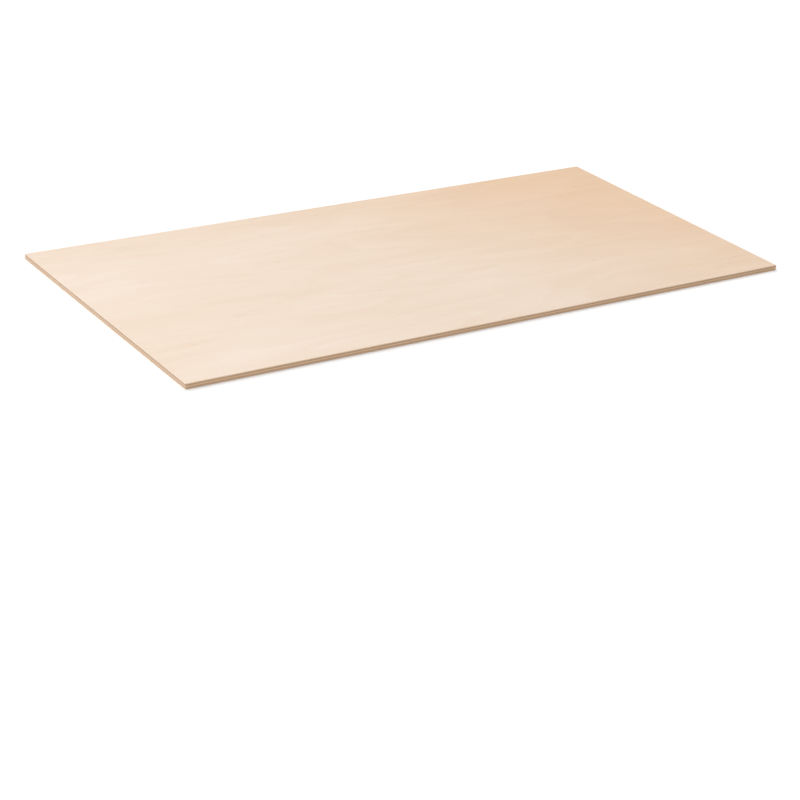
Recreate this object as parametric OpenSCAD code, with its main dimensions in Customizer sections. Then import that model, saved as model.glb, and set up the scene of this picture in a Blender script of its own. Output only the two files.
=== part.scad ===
// Plywood sheet: five veneers glued up with their grain crossed, then sawn square and sanded.
// The length and the face grain run along X and the width along Y.
// The sheet lies on its back veneer at Z = 0, with the origin under its middle.

/* [Sheet] */
// Length of the sheet, along the face grain
sheet_length = 2440; // [600:10:3660]
// Width of the sheet, across the face grain
sheet_width = 1220; // [300:10:1830]
// Radius to which sanding rounds the arrises of the face and the back
arris_r = 0.6; // [0.1:0.1:1.4]

/* [Plies] */
// Thickness of the face veneer after sanding
face_t = 3.2; // [1.5:0.1:6]
// Thickness of each crossband, whose grain runs across the sheet
crossband_t = 4.2; // [1.5:0.1:6]
// Thickness of the core veneer in the middle
core_t = 4.2; // [1.5:0.1:6]
// Thickness of the back veneer after sanding
back_t = 3.2; // [1.5:0.1:6]

/* [Hidden] */
$fn = 48;

// Veneer colours, as the sawn edges show them
face_colour = [0.94, 0.86, 0.77];
crossband_colour = [0.76, 0.64, 0.52];
core_colour = [0.86, 0.76, 0.65];

// Heights of the glue lines, from the bottom up
lower_z = back_t;
core_z = lower_z + crossband_t;
upper_z = core_z + core_t;
face_z = upper_z + crossband_t;
// Thickness of the whole sheet
sheet_t = face_z + face_t;

// Cross-section of the sheet over a span, centred, with its four arrises rounded
module eased_section(span) {
    translate([-span / 2 + arris_r, 0]) square([span - 2 * arris_r, sheet_t]);
    translate([-span / 2, arris_r]) square([span, sheet_t - 2 * arris_r]);
    for (x = [-span / 2 + arris_r, span / 2 - arris_r], z = [arris_r, sheet_t - arris_r])
        translate([x, z]) circle(arris_r);
}

// The whole pressed panel after trimming and sanding: the arrises meet in mitres at the corners
module trimmed_panel() {
    intersection() {
        rotate([90, 0, 0]) linear_extrude(sheet_width, center = true) eased_section(sheet_length);
        rotate([90, 0, 90]) linear_extrude(sheet_length, center = true) eased_section(sheet_width);
    }
}

// One ply: the part of the trimmed panel from height z up through thickness t
module ply(z, t) {
    intersection() {
        trimmed_panel();
        translate([-sheet_length / 2, -sheet_width / 2, z]) cube([sheet_length, sheet_width, t]);
    }
}

module face_veneer() { color(face_colour) ply(face_z, face_t); }

module upper_crossband() { color(crossband_colour) ply(upper_z, crossband_t); }

module core_veneer() { color(core_colour) ply(core_z, core_t); }

module lower_crossband() { color(crossband_colour) ply(lower_z, crossband_t); }

module back_veneer() { color(face_colour) ply(0, back_t); }

face_veneer();
upper_crossband();
core_veneer();
lower_crossband();
back_veneer();
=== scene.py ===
"""A plywood sheet on a white studio floor: five crossed veneers, sanded faces and sawn edges."""
import math
from collections import namedtuple

import bpy
import numpy as np
from mathutils import Matrix, Vector, noise


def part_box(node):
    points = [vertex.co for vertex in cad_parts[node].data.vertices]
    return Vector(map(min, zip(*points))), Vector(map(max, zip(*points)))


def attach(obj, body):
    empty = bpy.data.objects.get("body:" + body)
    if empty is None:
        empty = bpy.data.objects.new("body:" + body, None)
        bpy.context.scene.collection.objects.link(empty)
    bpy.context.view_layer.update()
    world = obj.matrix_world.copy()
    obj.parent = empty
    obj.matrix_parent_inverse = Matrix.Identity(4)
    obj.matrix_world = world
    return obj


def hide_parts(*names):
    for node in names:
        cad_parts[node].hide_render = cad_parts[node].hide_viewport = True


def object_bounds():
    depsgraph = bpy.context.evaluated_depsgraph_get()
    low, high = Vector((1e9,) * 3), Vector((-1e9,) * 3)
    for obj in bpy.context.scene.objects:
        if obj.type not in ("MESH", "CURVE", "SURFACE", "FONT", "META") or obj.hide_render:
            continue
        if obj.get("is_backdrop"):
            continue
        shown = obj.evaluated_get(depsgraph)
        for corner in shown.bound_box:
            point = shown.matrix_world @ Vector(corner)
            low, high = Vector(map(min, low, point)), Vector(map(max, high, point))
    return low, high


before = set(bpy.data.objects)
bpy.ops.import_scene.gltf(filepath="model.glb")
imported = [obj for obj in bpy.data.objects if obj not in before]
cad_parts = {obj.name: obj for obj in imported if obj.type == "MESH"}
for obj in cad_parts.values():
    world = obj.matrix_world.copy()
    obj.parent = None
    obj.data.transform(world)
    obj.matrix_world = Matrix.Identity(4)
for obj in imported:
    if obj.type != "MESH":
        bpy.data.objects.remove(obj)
CAD_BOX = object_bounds()
MM = 0.001


def rgb(red, green, blue):
    return (red, green, blue, 1.0)


WHITE = rgb(1.0, 1.0, 1.0)

# The plies from the bottom up: node, material slot in the record, whether the grain runs across, and
# how light its sawn wood is against others of its kind, which on the lower plies is partly the veneer's
# own tone and partly painted bounce light
Ply = namedtuple("Ply", "node slot crossed tint")
PLIES = (
    Ply("back_veneer", "back_veneer", False, 1.02),
    Ply("lower_crossband", "crossband_veneer", True, 1.15),
    Ply("core_veneer", "core_veneer", False, 1.0),
    Ply("upper_crossband", "crossband_veneer", True, 0.97),
    Ply("face_veneer", "face_veneer", False, 1.0),
)
# Material slots of a ply's mesh
WOOD_SLOT, GLUE_SLOT = 0, 1

# Sheet outline, and the heights of the two faces and the glue lines between them
SHEET_LOW, SHEET_HIGH = (np.array(corner) for corner in CAD_BOX)
HALF_SIZE = (SHEET_HIGH - SHEET_LOW)[:2] / 2
GLUE_HEIGHTS = [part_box(ply.node)[1].z for ply in PLIES[:-1]]
ARRIS_RADIUS = 0.6 * MM
ARRIS_STEPS = 4

# Outline corners, and the inward direction of each side, from the near left corner round by the right
CORNERS = np.array([(-1, -1), (1, -1), (1, 1), (-1, 1)], float)
INWARD = np.array([(0, 1), (-1, 0), (0, -1), (1, 0)], float)
LONG_SIDES, SHORT_SIDES = (0, 2), (1, 3)

# Mesh steps along a long and a short side, and how far up an edge's sawn wood its rows lie
LONG_STEPS = 1024
SHORT_STEPS = 512
EDGE_STEPS = (LONG_STEPS, SHORT_STEPS, LONG_STEPS, SHORT_STEPS)
SAWN_ROWS = (0.25, 0.5, 0.75)
# How far in each ring of a face lies, in steps of the ring round it, and how many steps of a short
# side are left where the inner grid starts
RING_INSET = 1.5
GRID_SHORT_STEPS = 16

# How far apart the pieces of noise for two seeds lie
NOISE_APART = (7.3, 3.1, 5.7)
# Waviness of the glue lines along the sawn edges, which fades out inside the sheet, and finer ripples
GLUE_WAVE = 0.22 * MM
GLUE_WAVE_PER_M = 9.0
GLUE_WAVE_SEED = 1
GLUE_WAVE_DEPTH = 60 * MM
GLUE_RIPPLE_SHARE = 0.4
GLUE_RIPPLE_PER_M = 36.0
GLUE_RIPPLE_SEED = 11
# A sawn edge's own relief, cut inwards: shallow along the fibres, deeper across them. Up the edge it
# changes faster by this factor.
SIDE_GRAIN_RELIEF = 0.03 * MM
END_GRAIN_RELIEF = 0.09 * MM
RELIEF_PER_M = 120.0
RELIEF_UPRIGHT = 4
# How far a glue line fades into each ply, and how far it lies back
GLUE_BAND = 0.16 * MM
GLUE_GROOVE = 0.04 * MM
GLUE_ATTRIBUTE = "glue"

# Bake map, from the bottom up: the sawn edges in rows, a sanded face, and the hidden glued faces
BAKE_MAP = "OFBake"
OUTER_EDGE_ROWS = (4, 2, 4, 2)
INNER_EDGE_ROWS = (8, 4, 8, 4)
OUTER_EDGE_SHARE = 0.28
INNER_EDGE_SHARE = 0.94
HIDDEN_SHARE = 0.03
MAP_MARGIN = 0.004
ROW_FILL = 0.8

# Wood tones, linear: a sanded face at its pale end, painted paler as if lit and with a sheen, and at
# its warm end, painted as shade, what its darkest grain leaves of them, and its flecks
FACE_PALE_PAINTED_LIGHT = rgb(0.866, 0.757, 0.667)
FACE_WARM_PAINTED_SHADE = rgb(0.85, 0.635, 0.462)
GRAIN_SHADE = rgb(0.87, 0.775, 0.655)
FLECK_BROWN = rgb(0.58, 0.39, 0.24)
# How late along the sheet the warm painted shade comes in, and how far it leans towards the back
PAINTED_SHADE_POWER = 2.2
PAINTED_SHADE_LEAN = 0.75
# The lightest and darkest wood of the sawn edges, where long plies are those whose grain runs along
# the sheet, and the tones at which they are reached. The tones that face the long sides, the long
# plies' side grain and the crossed plies' end grain, are warmer there as painted warm bounce light
LONG_SIDE_GRAIN_PAINTED_BOUNCE = rgb(0.90, 0.66, 0.46), rgb(0.79, 0.55, 0.36)
LONG_END_GRAIN = rgb(0.90, 0.72, 0.56), rgb(0.79, 0.605, 0.445)
CROSS_SIDE_GRAIN = rgb(0.635, 0.435, 0.30), rgb(0.505, 0.335, 0.212)
CROSS_END_GRAIN_PAINTED_BOUNCE = rgb(0.71, 0.46, 0.285), rgb(0.575, 0.36, 0.21)
EDGE_TONES = (0.25, 0.85)
# Dried glue, its roughness, and how much of it colours the edge in a glue line
GLUE_BROWN = rgb(0.36, 0.22, 0.13)
GLUE_ROUGH = 0.6
GLUE_SHARE = 0.8

# Patterns in the wood: steps per metre along the fibres, across them and through the ply, the
# noise's detail, and the share of each in the wood's tone
Pattern = namedtuple("Pattern", "along across deep detail share")
FIGURE = {
    "clouds": Pattern(0.9, 2.4, 2.4, 1.0, 0.45),
    "mottle": Pattern(2.2, 7.0, 7.0, 3.0, 0.50),
    "streaks": Pattern(4.0, 240.0, 240.0, 3.0, 0.30),
    "fibres": Pattern(45.0, 1700.0, 1700.0, 2.0, 0.24),
}
MIDDLE_TONE = 0.5
# How far apart in the patterns two plies are cut
PLIES_APART = 11.7
# Growth rings: what bends them, how many a full bend shifts, how many lie in a metre of depth, and
# where a ring is darkest
RING_WARP = Pattern(0.6, 3.4, 3.4, 2.0, 0.15)
RINGS_PER_WARP = 9.0
RINGS_PER_M_DEEP = 420.0
RING_LATE = 0.86
# Sparse marks, with the noise levels where one starts and is full: pores, pith flecks, and the rays
# that stand upright in the end grain
PORES = Pattern(110.0, 2400.0, 2400.0, 0.0, 0.20)
PORE_LEVELS = (0.63, 0.73)
FLECKS = Pattern(16.0, 130.0, 130.0, 1.0, 0.32)
FLECK_LEVELS = (0.69, 0.79)
RAYS = Pattern(60.0, 2600.0, 700.0, 1.0, 0.55)
RAY_LEVELS = (0.53, 0.68)
# Saw marks on the edges: lines per metre, how fast they change up the edge, their lean and share
SAW_LINES = 750.0
SAW_CHANGE = 24.0
SAW_LEAN = 0.35
SAW_SHARE = 0.50

# Fine relief of the two finishes, how strongly it shows, and how deep a pore is against a fibre
FACE_BUMP = 0.06 * MM
EDGE_BUMP = 0.14 * MM
BUMP_STRENGTH = 0.25
PORE_DEPTH = 0.6
# Roughness of a face between these levels of its streaks, what a sawn edge adds, and the gloss of both
STREAK_LEVELS = (0.3, 0.7)
FACE_ROUGH = (0.50, 0.62)
EDGE_EXTRA_ROUGH = 0.22
GLOSS_LEVEL = 0.3
# A surface counts as facing an axis between these shares of its normal
FACING = (0.35, 0.95)

# Camera, as the photograph is seen: angles in degrees, the floor point it looks at, lens in mm
CAMERA_AZIMUTH = -34.23
CAMERA_ELEVATION = 24.78
CAMERA_ROLL = 3.62
CAMERA_TARGET = Vector((-0.657, -0.966, 0.0))
CAMERA_DISTANCE = 6.556
CAMERA_LENS = 95.0
CAMERA_SENSOR = 36.0

# Light levels, where 1 lights a facing white surface to white
WORLD_LEVEL = 0.42
KEY_LEVEL = 0.565
KEY_FROM = Vector((-0.10, 0.78, 1.15))
KEY_SOFTNESS = math.radians(60)
# A softbox above and beyond the sheet's left end, in watts and metres
PANEL_PLACE = Vector((-3.6, 0.0, 4.0))
PANEL_AIM = Vector((-0.6, 0.0, 0.0))
PANEL_SIZE = (1.6, 1.2)
PANEL_POWER = 60.0
FLOOR_WHITE = 0.93
# What the floor is lifted by to be seen as white: nothing where the softbox lights it, more further off
SOFTBOX_SPOT = (-2.4, 0.0, 0.0)
SPOT_NEAR, SPOT_FAR = 1.0, 5.0
FLOOR_LIFT = 0.235
FLOOR_SIZE = 60.0
FLOOR_GAP = 0.1 * MM


# Mesh of one ply


def round_the_sheet(steps, inset=0.0):
    """Points round the outline drawn in by inset, counter-clockwise, with steps[i] on side i."""
    corners = CORNERS * (HALF_SIZE - inset)
    sides = []
    for side, count in enumerate(steps):
        start = corners[side]
        along = corners[(side + 1) % 4] - start
        sides.append(start + along * (np.arange(count) / count)[:, None])
    return np.concatenate(sides)


def inward_steps(steps):
    """The inward direction at each of those points; a corner moves in along both its sides."""
    found = []
    for side, count in enumerate(steps):
        directions = np.repeat(INWARD[side : side + 1], count, axis=0)
        directions[0] += INWARD[side - 1]
        found.append(directions)
    return np.concatenate(found)


def noise_at(points, per_metre, seed):
    """Smooth noise from -1 to 1 at each point."""
    shift = Vector([seed * apart for apart in NOISE_APART])
    return np.array([noise.noise(Vector(p) * per_metre + shift) for p in points])


def level_surface(height):
    """A flat face: a function from points to their heights."""
    return lambda points: np.full(len(points), height)


def glue_surface(line):
    """A glue line's face, wavy at the sawn edges and level inside: a function like the last one's."""

    def heights(points):
        depth = (HALF_SIZE - np.abs(points)).min(axis=1)
        fade = np.clip(1 - depth / GLUE_WAVE_DEPTH, 0, 1)
        flat = np.column_stack([points, np.zeros(len(points))])
        wave = noise_at(flat, GLUE_WAVE_PER_M, line + GLUE_WAVE_SEED)
        wave += GLUE_RIPPLE_SHARE * noise_at(flat, GLUE_RIPPLE_PER_M, line + GLUE_RIPPLE_SEED)
        return GLUE_HEIGHTS[line] + GLUE_WAVE * wave * fade

    return heights


class PlyMesh:
    """Collects the points and faces of one ply."""

    def __init__(self, rows_per_side, edge_share):
        self.points = []
        self.glue = []
        self.faces = []
        self.slots = []
        self.places = []
        self.sharp_edges = set()
        self.rows_per_side = rows_per_side
        self.edge_share = edge_share

    def add_ring(self, points, heights, glue=0.0):
        """Adds a ring of points and returns their numbers."""
        first = len(self.points)
        self.points.extend(np.column_stack([points, heights]).tolist())
        self.glue.extend([glue] * len(points))
        return np.arange(first, len(self.points))

    def add_face(self, corners, slot, places):
        self.faces.append(tuple(int(c) for c in corners))
        self.slots.append(slot)
        self.places.extend(places)

    def edge_place(self, side, row, column, height):
        """Place on the bake map of a point on a sawn edge: each side is cut into rows."""
        per_row = EDGE_STEPS[side] // self.rows_per_side[side]
        rows_below = sum(self.rows_per_side[:side]) + row
        row_share = self.edge_share / sum(self.rows_per_side)
        return (
            MAP_MARGIN + (1 - 2 * MAP_MARGIN) * (column - row * per_row) / per_row,
            MAP_MARGIN / 2 + (rows_below + height * ROW_FILL) * row_share,
        )

    def add_wall(self, lower, upper, low_share, high_share):
        """Faces between two rings of the sawn edge, low_share and high_share of the way up it."""
        first = 0
        for side, count in enumerate(EDGE_STEPS):
            self.sharp_edges.add(frozenset((int(lower[first]), int(upper[first]))))
            per_row = count // self.rows_per_side[side]
            for column in range(count):
                here = first + column
                after = (here + 1) % len(lower)
                row = column // per_row
                places = [
                    self.edge_place(side, row, column, low_share),
                    self.edge_place(side, row, column + 1, low_share),
                    self.edge_place(side, row, column + 1, high_share),
                    self.edge_place(side, row, column, high_share),
                ]
                corners = (lower[here], lower[after], upper[after], upper[here])
                self.add_face(corners, WOOD_SLOT, places)
            first += count

    def flat_place(self, number, slot):
        """Place on the bake map of a point on a sanded face, or on a hidden glued one."""
        share = (np.array(self.points[number][:2]) / HALF_SIZE + 1) / 2
        split = 1 - HIDDEN_SHARE
        start, end = (self.edge_share, split) if slot == WOOD_SLOT else (split, 1.0)
        return (
            MAP_MARGIN + (1 - 2 * MAP_MARGIN) * share[0],
            start + MAP_MARGIN + (end - start - 2 * MAP_MARGIN) * share[1],
        )

    def add_flat(self, corners, slot, faces_up):
        ordered = corners if faces_up else corners[::-1]
        self.add_face(ordered, slot, [self.flat_place(c, slot) for c in ordered])

    def add_cap(self, ring, surface, slot, faces_up):
        """Closes a ring with rings of half as many steps each, and then a grid."""
        steps = EDGE_STEPS
        spacing = 2 * HALF_SIZE[0] / LONG_STEPS
        inset = 0.0
        while steps[1] > GRID_SHORT_STEPS:
            inset += spacing * RING_INSET
            spacing *= 2
            inner_steps = tuple(count // 2 for count in steps)
            points = round_the_sheet(inner_steps, inset)
            inner = self.add_ring(points, surface(points))
            self.join_rings(ring, steps, inner, slot, faces_up)
            ring = inner
            steps = inner_steps
        self.fill_grid(ring, steps, surface, slot, faces_up)

    def join_rings(self, outer, steps, inner, slot, faces_up):
        """Joins a ring to one of half as many steps inside it."""
        out_first = 0
        in_first = 0
        for count in steps:
            for step in range(count // 2):
                a, b, c = (outer[(out_first + 2 * step + k) % len(outer)] for k in range(3))
                p, q = (inner[(in_first + step + k) % len(inner)] for k in range(2))
                self.add_flat((a, b, p), slot, faces_up)
                self.add_flat((b, q, p), slot, faces_up)
                self.add_flat((b, c, q), slot, faces_up)
            out_first += count
            in_first += count // 2

    def fill_grid(self, ring, steps, surface, slot, faces_up):
        """Fills the innermost ring with a grid."""
        wide, deep = steps[:2]
        grid = np.zeros((deep + 1, wide + 1), int)
        grid[0, :] = ring[: wide + 1]
        grid[:, wide] = ring[wide : wide + deep + 1]
        grid[deep, ::-1] = ring[wide + deep : 2 * wide + deep + 1]
        grid[deep:0:-1, 0] = ring[2 * wide + deep :]
        low = np.array(self.points[ring[0]][:2])
        high = -low
        for j in range(1, deep):
            shares = np.arange(1, wide) / wide
            row = np.column_stack([
                low[0] + (high[0] - low[0]) * shares,
                np.full(wide - 1, low[1] + (high[1] - low[1]) * j / deep),
            ])
            grid[j, 1:wide] = self.add_ring(row, surface(row))
        for j in range(deep):
            for i in range(wide):
                corners = (grid[j, i], grid[j, i + 1], grid[j + 1, i + 1], grid[j + 1, i])
                self.add_flat(corners, slot, faces_up)

    def add_sharp_rim(self, ring):
        """Makes a ring of points a sharp edge."""
        following = np.roll(ring, -1)
        self.sharp_edges.update(frozenset(pair) for pair in zip(ring.tolist(), following.tolist()))

    def finished(self, name):
        """The mesh, smooth but for its sharp edges."""
        mesh = bpy.data.meshes.new(name)
        mesh.from_pydata(self.points, [], self.faces)
        mesh.polygons.foreach_set("material_index", self.slots)
        mesh.polygons.foreach_set("use_smooth", [True] * len(self.faces))
        glue = mesh.attributes.new(GLUE_ATTRIBUTE, "FLOAT", "POINT")
        glue.data.foreach_set("value", self.glue)
        places = mesh.uv_layers.new(name=BAKE_MAP)
        places.uv.foreach_set("vector", np.array(self.places, np.float32).ravel())
        sharp = [frozenset(edge.vertices) in self.sharp_edges for edge in mesh.edges]
        mesh.edges.foreach_set("use_edge_sharp", sharp)
        mesh.validate()
        mesh.update()
        return mesh


# One row of points along a ply's edge: its heights, how far it lies back, or None where the relief of
# the sawn wood says so, and how much glue shows
EdgeRow = namedtuple("EdgeRow", "heights back glue")


def arris_rows(face_heights, into_ply):
    """The rows of a rounded arris, from a sanded face to the upright edge. into_ply is 1 or -1."""
    rows = []
    for step in range(ARRIS_STEPS + 1):
        turn = math.pi / 2 * step / ARRIS_STEPS
        rise = ARRIS_RADIUS * (1 - math.cos(turn))
        back = ARRIS_RADIUS * (1 - math.sin(turn))
        rows.append(EdgeRow(face_heights + into_ply * rise, back, 0.0))
    return rows


def glue_rows(line_heights, into_ply):
    """The rows of a glue line in its groove, and of the wood that it fades into."""
    return [
        EdgeRow(line_heights, GLUE_GROOVE, 1.0),
        EdgeRow(line_heights + into_ply * GLUE_BAND, None, 0.0),
    ]


def edge_rows(low, high, is_back, is_face):
    """The rows of a ply's edge, from its lower face up."""
    below = arris_rows(low, 1) if is_back else glue_rows(low, 1)
    above = arris_rows(high, -1) if is_face else glue_rows(high, -1)
    start = below[-1].heights
    end = above[-1].heights
    sawn = [EdgeRow(start + (end - start) * share, None, 0.0) for share in SAWN_ROWS]
    return below + sawn + above[::-1]


def edge_relief(points, heights, end_grain_sides, seed):
    """How far a ring of the sawn edge lies back: end grain is cut rougher than side grain."""
    depth = np.empty(len(points))
    stretched = np.column_stack([points, heights * RELIEF_UPRIGHT])
    rough = 0.5 + 0.5 * noise_at(stretched, RELIEF_PER_M, seed)
    first = 0
    for side, count in enumerate(EDGE_STEPS):
        deepest = END_GRAIN_RELIEF if side in end_grain_sides else SIDE_GRAIN_RELIEF
        depth[first : first + count] = deepest * rough[first : first + count]
        first += count
    return np.clip(depth, 0, None)


def add_edge(made, rows, end_grain_sides, seed):
    """Adds a ply's edge to its mesh, and returns its lowest and its highest ring of points."""
    outline = round_the_sheet(EDGE_STEPS)
    inward = inward_steps(EDGE_STEPS)
    rings = []
    for row in rows:
        back = row.back
        if back is None:
            back = edge_relief(outline, row.heights, end_grain_sides, seed)[:, None]
        rings.append(made.add_ring(outline + inward * back, row.heights, row.glue))
    low = rows[0].heights.mean()
    thick = rows[-1].heights.mean() - low
    shares = [(row.heights.mean() - low) / thick for row in rows]
    for k in range(len(rings) - 1):
        made.add_wall(rings[k], rings[k + 1], shares[k], shares[k + 1])
    return rings[0], rings[-1]


def build_ply(index):
    """The mesh of one ply: its edge, and the two faces that close it."""
    is_back = index == 0
    is_face = index == len(PLIES) - 1
    if is_back or is_face:
        made = PlyMesh(OUTER_EDGE_ROWS, OUTER_EDGE_SHARE)
    else:
        made = PlyMesh(INNER_EDGE_ROWS, INNER_EDGE_SHARE)
    bottom = level_surface(SHEET_LOW[2]) if is_back else glue_surface(index - 1)
    top = level_surface(SHEET_HIGH[2]) if is_face else glue_surface(index)

    outline = round_the_sheet(EDGE_STEPS)
    rows = edge_rows(bottom(outline), top(outline), is_back, is_face)
    end_grain_sides = LONG_SIDES if PLIES[index].crossed else SHORT_SIDES
    lowest, highest = add_edge(made, rows, end_grain_sides, index + 1)
    made.add_cap(lowest, bottom, WOOD_SLOT if is_back else GLUE_SLOT, faces_up=False)
    made.add_cap(highest, top, WOOD_SLOT if is_face else GLUE_SLOT, faces_up=True)
    if not is_back:
        made.add_sharp_rim(lowest)
    if not is_face:
        made.add_sharp_rim(highest)
    return made.finished(PLIES[index].node + "_mesh")


# Materials


class Tree:
    """Short names for making the nodes of a material or the world."""

    # The colour sockets of a mix node
    MIX_A, MIX_B, MIX_RESULT = 6, 7, 2

    def __init__(self, owner):
        owner.use_nodes = True
        self.nodes = owner.node_tree.nodes
        self.links = owner.node_tree.links
        self.nodes.clear()

    def node(self, kind, **settings):
        made = self.nodes.new("ShaderNode" + kind)
        for key, value in settings.items():
            setattr(made, key, value)
        return made

    def feed(self, socket, value):
        """Links a socket, or sets its constant."""
        if isinstance(value, bpy.types.NodeSocket):
            self.links.new(value, socket)
        else:
            socket.default_value = value

    def math(self, operation, *values):
        made = self.node("Math", operation=operation)
        for socket, value in zip(made.inputs, values):
            self.feed(socket, value)
        return made.outputs[0]

    def ranged(self, value, low, high, to_low=0.0, to_high=1.0):
        """A value carried from one range to another, and held at its ends."""
        made = self.node("MapRange")
        for name, given in zip(("Value", "From Min", "From Max", "To Min", "To Max"),
                               (value, low, high, to_low, to_high)):
            self.feed(made.inputs[name], given)
        return made.outputs["Result"]

    def blend(self, factor, start, end):
        """A number that goes from start to end as the factor goes from 0 to 1."""
        return self.ranged(factor, 0.0, 1.0, start, end)

    def noise(self, vector, detail=2.0):
        made = self.node("TexNoise")
        self.feed(made.inputs["Vector"], vector)
        self.feed(made.inputs["Scale"], 1.0)
        self.feed(made.inputs["Detail"], detail)
        return made.outputs["Fac"]

    def mix(self, factor, a, b, blend_type="MIX"):
        made = self.node("Mix", data_type="RGBA", blend_type=blend_type)
        self.feed(made.inputs["Factor"], factor)
        self.feed(made.inputs[self.MIX_A], a)
        self.feed(made.inputs[self.MIX_B], b)
        return made.outputs[self.MIX_RESULT]

    def surface(self, shader, output="OutputMaterial"):
        """Ends the tree with this shader."""
        self.feed(self.node(output).inputs["Surface"], shader.outputs[0])


class Grain:
    """The fibre directions of one ply's wood, in metres, with its own seed."""

    def __init__(self, tree, ply, seed):
        self.tree = tree
        self.ply = ply
        self.shift = seed * PLIES_APART
        self.x, self.y, self.z = self.split(tree.node("TexCoord").outputs["Object"])
        self.along = self.y if ply.crossed else self.x
        self.across = self.x if ply.crossed else self.y
        normal = self.split(tree.node("NewGeometry").outputs["Normal"])
        self.sanded = self.facing(normal["Z"])
        self.end_grain = self.facing(normal["Y" if ply.crossed else "X"])

    def split(self, vector):
        parts = self.tree.node("SeparateXYZ")
        self.tree.feed(parts.inputs[0], vector)
        return parts.outputs

    def facing(self, share):
        return self.tree.ranged(self.tree.math("ABSOLUTE", share), *FACING)

    def noise(self, pattern):
        """A pattern of the wood, stretched along the fibres."""
        tree = self.tree
        vector = tree.node("CombineXYZ")
        scales = (pattern.along, pattern.across, pattern.deep)
        for socket, place, scale in zip(vector.inputs, (self.along, self.across, self.z), scales):
            tree.feed(socket, tree.math("MULTIPLY_ADD", place, scale, self.shift))
        return tree.noise(vector.outputs[0], pattern.detail)

    def marks(self, pattern, levels):
        """Sparse marks: 0 in plain wood and 1 in the middle of a mark."""
        return self.tree.ranged(self.noise(pattern), *levels)

    def rings(self):
        """Growth rings as a rotary cut shows them: each darkens slowly and ends sharply."""
        tree = self.tree
        warp = tree.math("MULTIPLY", self.noise(RING_WARP), RINGS_PER_WARP)
        share = tree.math("FRACT", tree.math("MULTIPLY_ADD", self.z, RINGS_PER_M_DEEP, warp))
        darker = tree.ranged(share, 0.0, RING_LATE)
        ended = tree.ranged(share, RING_LATE, 1.0, 1.0, 0.0)
        return tree.math("MULTIPLY", darker, ended)

    def saw_marks(self):
        """Lines that the saw left on the edges, the same through all the plies."""
        tree = self.tree
        round_the_edge = tree.math("ADD", self.x, self.y)
        leaning = tree.math("MULTIPLY_ADD", self.z, SAW_LEAN, round_the_edge)
        vector = tree.node("CombineXYZ")
        tree.feed(vector.inputs[0], tree.math("MULTIPLY", leaning, SAW_LINES))
        tree.feed(vector.inputs[1], tree.math("MULTIPLY", self.z, SAW_CHANGE))
        return tree.noise(vector.outputs[0])


def wood_tone(tree, figure, rings, pores):
    """The wood's tone round its middle, where 0 is the palest wood."""
    shares = [(figure[pattern], FIGURE[pattern].share) for pattern in FIGURE]
    shares.append((rings, RING_WARP.share))
    tone = MIDDLE_TONE - sum(share for _, share in shares) / 2
    for pattern, share in shares:
        tone = tree.math("MULTIPLY_ADD", pattern, share, tone)
    return tree.math("MULTIPLY_ADD", pores, PORES.share, tone)


def face_colour(tree, grain, tone):
    """The sanded face: pale, drifting warmer along the sheet as painted light falloff and shade, with
    small brown flecks.
    """
    half_length = float(HALF_SIZE[0])
    # Painted light and shade: paler at the near left end, warmer and darker towards the far right end
    # and the back
    leaning = tree.math("MULTIPLY_ADD", grain.y, PAINTED_SHADE_LEAN, grain.x)
    painted_falloff = tree.math("POWER", tree.ranged(leaning, -half_length, half_length), PAINTED_SHADE_POWER)
    face = tree.mix(painted_falloff, FACE_PALE_PAINTED_LIGHT, FACE_WARM_PAINTED_SHADE)
    shade = tree.mix(tone, WHITE, GRAIN_SHADE)
    face = tree.mix(1.0, face, shade, blend_type="MULTIPLY")
    flecks = grain.marks(FLECKS, FLECK_LEVELS)
    return tree.mix(tree.math("MULTIPLY", flecks, FLECKS.share), face, FLECK_BROWN)


def tinted(colour, tint):
    """A colour made lighter or darker by a factor."""
    return rgb(*(channel * tint for channel in colour[:3]))


def edge_colour(tree, grain, tone, saw, rays):
    """The sawn edge: side or end grain, warmer on the long sides as painted warm bounce light, with saw
    marks, rays in the end grain and the glue line.
    """
    sawn = tree.math("MULTIPLY_ADD", saw, SAW_SHARE, tree.math("SUBTRACT", tone, SAW_SHARE / 2))
    sawn = tree.ranged(tree.math("MULTIPLY_ADD", rays, RAYS.share, sawn), *EDGE_TONES)
    # On the long sides the warmer tones are painted warm bounce light
    if grain.ply.crossed:
        tones = CROSS_SIDE_GRAIN, CROSS_END_GRAIN_PAINTED_BOUNCE
    else:
        tones = LONG_SIDE_GRAIN_PAINTED_BOUNCE, LONG_END_GRAIN
    # The lower plies are lighter partly by their own tone and partly by painted bounce light
    tint = grain.ply.tint
    side, end = (tree.mix(sawn, tinted(light, tint), tinted(dark, tint)) for light, dark in tones)
    edge = tree.mix(grain.end_grain, side, end)
    glue = tree.node("Attribute", attribute_name=GLUE_ATTRIBUTE).outputs["Fac"]
    return tree.mix(tree.math("MULTIPLY", glue, GLUE_SHARE), edge, GLUE_BROWN)


def wood_normal(tree, grain, fibres, pores, saw, rays):
    """Fine relief: fibres and pores on a sanded face, saw marks, fibres and rays on a sawn edge."""
    face_height = tree.math("SUBTRACT", fibres, tree.math("MULTIPLY", pores, PORE_DEPTH))
    edge_height = tree.math("SUBTRACT", tree.math("ADD", saw, fibres), rays)
    bump = tree.node("Bump")
    bump.inputs["Strength"].default_value = BUMP_STRENGTH
    tree.feed(bump.inputs["Distance"], tree.blend(grain.sanded, EDGE_BUMP, FACE_BUMP))
    tree.feed(bump.inputs["Height"], tree.blend(grain.sanded, edge_height, face_height))
    return bump.outputs["Normal"]


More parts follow.
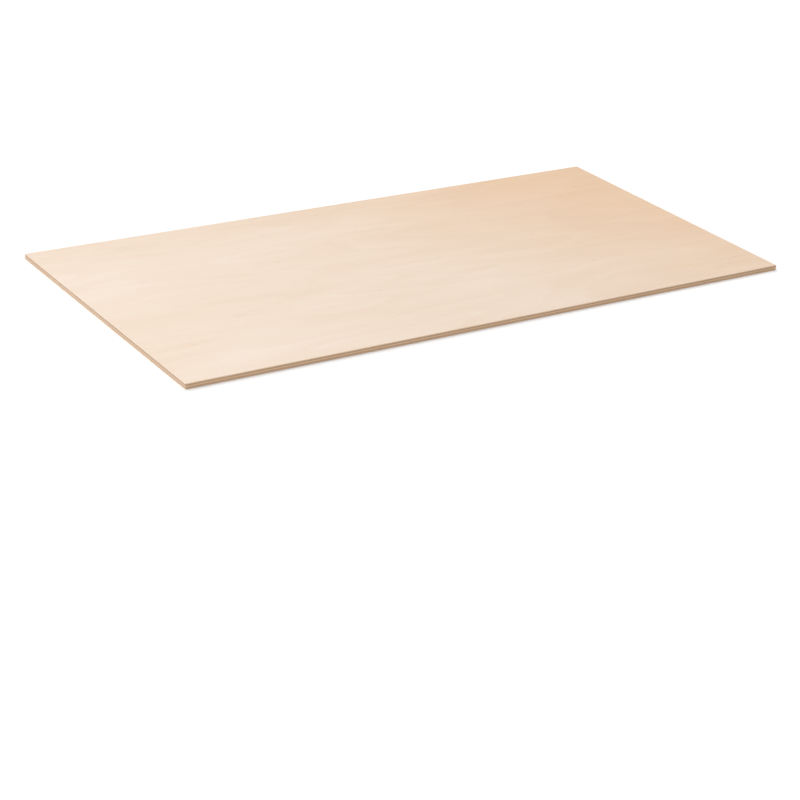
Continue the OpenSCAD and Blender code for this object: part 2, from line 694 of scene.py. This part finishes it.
def wood_roughness(tree, grain, streaks):
    """A sanded face is rougher in some streaks than in others, and a sawn edge is rougher still."""
    face_rough = tree.ranged(streaks, *STREAK_LEVELS, *FACE_ROUGH)
    return tree.math("ADD", face_rough, tree.blend(grain.sanded, EDGE_EXTRA_ROUGH, 0.0))


def veneer(ply, seed):
    """Rotary-cut veneer: pale and fine-grained on the face, browner where it is sawn through."""
    material = bpy.data.materials.new(ply.node + "_grain")
    tree = Tree(material)
    grain = Grain(tree, ply, seed)
    figure = {key: grain.noise(pattern) for key, pattern in FIGURE.items()}
    pores = grain.marks(PORES, PORE_LEVELS)
    rays = tree.math("MULTIPLY", grain.marks(RAYS, RAY_LEVELS), grain.end_grain)
    saw = grain.saw_marks()
    tone = wood_tone(tree, figure, grain.rings(), pores)
    edge = edge_colour(tree, grain, tone, saw, rays)
    face = face_colour(tree, grain, tone)

    shader = tree.node("BsdfPrincipled")
    tree.feed(shader.inputs["Base Color"], tree.mix(grain.sanded, edge, face))
    tree.feed(shader.inputs["Roughness"], wood_roughness(tree, grain, figure["streaks"]))
    tree.feed(shader.inputs["Normal"], wood_normal(tree, grain, figure["fibres"], pores, saw, rays))
    shader.inputs["Specular IOR Level"].default_value = GLOSS_LEVEL
    tree.surface(shader)
    return material


def glue_film():
    """Dried glue on the hidden faces between the plies."""
    material = bpy.data.materials.new("glue_film")
    tree = Tree(material)
    shader = tree.node("BsdfPrincipled")
    shader.inputs["Base Color"].default_value = GLUE_BROWN
    shader.inputs["Roughness"].default_value = GLUE_ROUGH
    tree.surface(shader)
    return material


def seen_directly(tree):
    """1 for rays from the camera, a reflection or glass, which see the white studio itself."""
    path = tree.node("LightPath")
    seen = path.outputs["Is Camera Ray"]
    for kind in ("Is Glossy Ray", "Is Transmission Ray"):
        seen = tree.math("MAXIMUM", seen, path.outputs[kind])
    return seen


def floor_material():
    """White floor that keeps the shadows, lifted to pure white where it is open."""
    material = bpy.data.materials.new("white_floor")
    tree = Tree(material)
    matt = tree.node("BsdfDiffuse")
    matt.inputs["Color"].default_value = rgb(FLOOR_WHITE, FLOOR_WHITE, FLOOR_WHITE)
    away = tree.node("VectorMath", operation="DISTANCE")
    tree.feed(away.inputs[0], tree.node("NewGeometry").outputs["Position"])
    away.inputs[1].default_value = SOFTBOX_SPOT
    lift = tree.ranged(away.outputs["Value"], SPOT_NEAR, SPOT_FAR, 0.0, FLOOR_LIFT)
    glow = tree.node("Emission")
    tree.feed(glow.inputs["Strength"], tree.math("MULTIPLY", seen_directly(tree), lift))
    both = tree.node("AddShader")
    tree.feed(both.inputs[0], matt.outputs[0])
    tree.feed(both.inputs[1], glow.outputs[0])
    tree.surface(both)
    return material


# The sheet


def add_object(name, data):
    made = bpy.data.objects.new(name, data)
    bpy.context.scene.collection.objects.link(made)
    return made


def make_sheet():
    film = glue_film()
    for index, ply in enumerate(PLIES):
        piece = add_object(ply.node + "_wood", build_ply(index))
        piece.data.materials.append(veneer(ply, index + 1))
        piece.data.materials.append(film)
        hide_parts(ply.node)
        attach(piece, "root")


# Studio


def make_floor():
    half = FLOOR_SIZE / 2
    mesh = bpy.data.meshes.new("floor_mesh")
    corners = [(x * half, y * half, SHEET_LOW[2] - FLOOR_GAP) for x, y in CORNERS]
    mesh.from_pydata(corners, [], [(0, 1, 2, 3)])
    mesh.materials.append(floor_material())
    add_object("floor", mesh)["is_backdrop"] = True


def make_world():
    """A plain white room, which lights the sheet at its own level."""
    world = bpy.data.worlds.new("studio")
    bpy.context.scene.world = world
    tree = Tree(world)
    sky = tree.node("Background")
    sky.inputs["Color"].default_value = WHITE
    tree.feed(sky.inputs["Strength"], tree.blend(seen_directly(tree), WORLD_LEVEL, 1.0))
    tree.surface(sky, "OutputWorld")


def add_lamp(name, kind, shines_from):
    """A lamp turned so that its light comes from this direction."""
    lamp = add_object(name, bpy.data.lights.new(name, kind))
    lamp.rotation_mode = "QUATERNION"
    lamp.rotation_quaternion = shines_from.to_track_quat("Z", "Y")
    return lamp


def make_lamps():
    key = add_lamp("key", "SUN", KEY_FROM)
    key.data.energy = KEY_LEVEL * math.pi
    key.data.angle = KEY_SOFTNESS

    panel = add_lamp("panel", "AREA", PANEL_PLACE - PANEL_AIM)
    panel.data.shape = "RECTANGLE"
    panel.data.size, panel.data.size_y = PANEL_SIZE
    panel.data.energy = PANEL_POWER
    panel.location = PANEL_PLACE
    panel.visible_camera = False


def make_camera():
    azimuth, elevation, roll = (
        math.radians(angle) for angle in (CAMERA_AZIMUTH, CAMERA_ELEVATION, CAMERA_ROLL)
    )
    back = Vector((
        math.sin(azimuth) * math.cos(elevation),
        -math.cos(azimuth) * math.cos(elevation),
        math.sin(elevation),
    ))
    level = Vector((math.cos(azimuth), math.sin(azimuth), 0.0))
    upright = back.cross(level)
    right = math.cos(roll) * level + math.sin(roll) * upright
    up = back.cross(right)
    data = bpy.data.cameras.new("camera")
    data.lens = CAMERA_LENS
    data.sensor_width = CAMERA_SENSOR
    camera = add_object("camera", data)
    turn = Matrix((right, up, back)).transposed()
    camera.matrix_world = Matrix.Translation(CAMERA_TARGET + back * CAMERA_DISTANCE) @ turn.to_4x4()
    bpy.context.scene.camera = camera


make_sheet()
make_floor()
make_world()
make_lamps()
make_camera()
bpy.context.scene.view_settings.view_transform = "Standard"

boxes = {"cad": CAD_BOX, "visual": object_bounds()}
{name: [list(corner) for corner in box] for name, box in boxes.items()}
